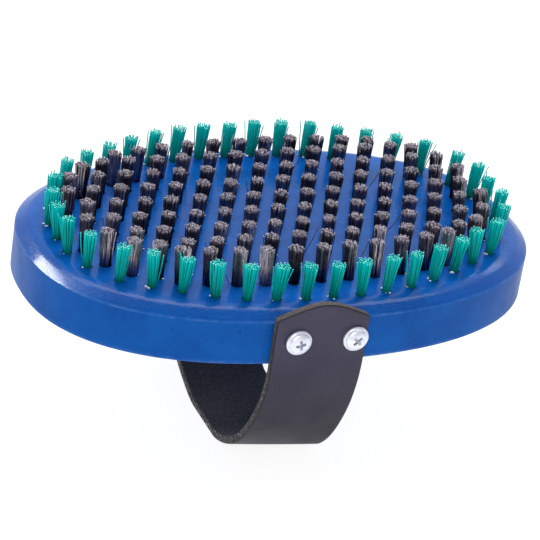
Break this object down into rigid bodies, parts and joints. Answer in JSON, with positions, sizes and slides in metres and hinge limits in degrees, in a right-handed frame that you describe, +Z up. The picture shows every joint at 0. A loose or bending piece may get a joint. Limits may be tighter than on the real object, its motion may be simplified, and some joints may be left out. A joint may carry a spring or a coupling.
{
  "type": "ski wax brush",
  "caption": "Oval hand brush for ski wax: a ring of soft nylon tufts round a field of stiff wire tufts, on a flat block held by a leather hand strap.",
  "frame": {"origin": "on the flat foot of the hand strap, the level that the brush stands on, under the middle of the block", "axes": "+X along the block's length, +Y across it towards the long side where the strap climbs less steeply, +Z up through the block and out along the bristles"},
  "size_m": [0.183, 0.1316, 0.0817],
  "materials": {
    "block": "gloss, moulded or lacquered blue with softly rounded top edge",
    "strap": "charcoal grain side out, darker suede side in, cut edges raw",
    "screw": "bright zinc plate",
    "wire": "dark drawn wire, cut tips brighter",
    "nylon": "translucent green monofilament"
  },
  "bodies": {
    "root": {"brush_block": "block", "hand_strap": "strap", "screw_front_left": "screw", "screw_front_right": "screw", "screw_back_left": "screw", "screw_back_right": "screw", "wire_row_1": "wire", "wire_row_2": "wire", "wire_row_3": "wire", "wire_row_4": "wire", "wire_row_5": "wire", "wire_row_6": "wire", "wire_row_7": "wire", "wire_row_8": "wire", "wire_row_9": "wire", "nylon_arc_1": "nylon", "nylon_arc_2": "nylon", "nylon_arc_3": "nylon", "nylon_arc_4": "nylon", "nylon_arc_5": "nylon", "nylon_arc_6": "nylon", "nylon_arc_7": "nylon", "nylon_arc_8": "nylon"}
  },
  "joints": []
}
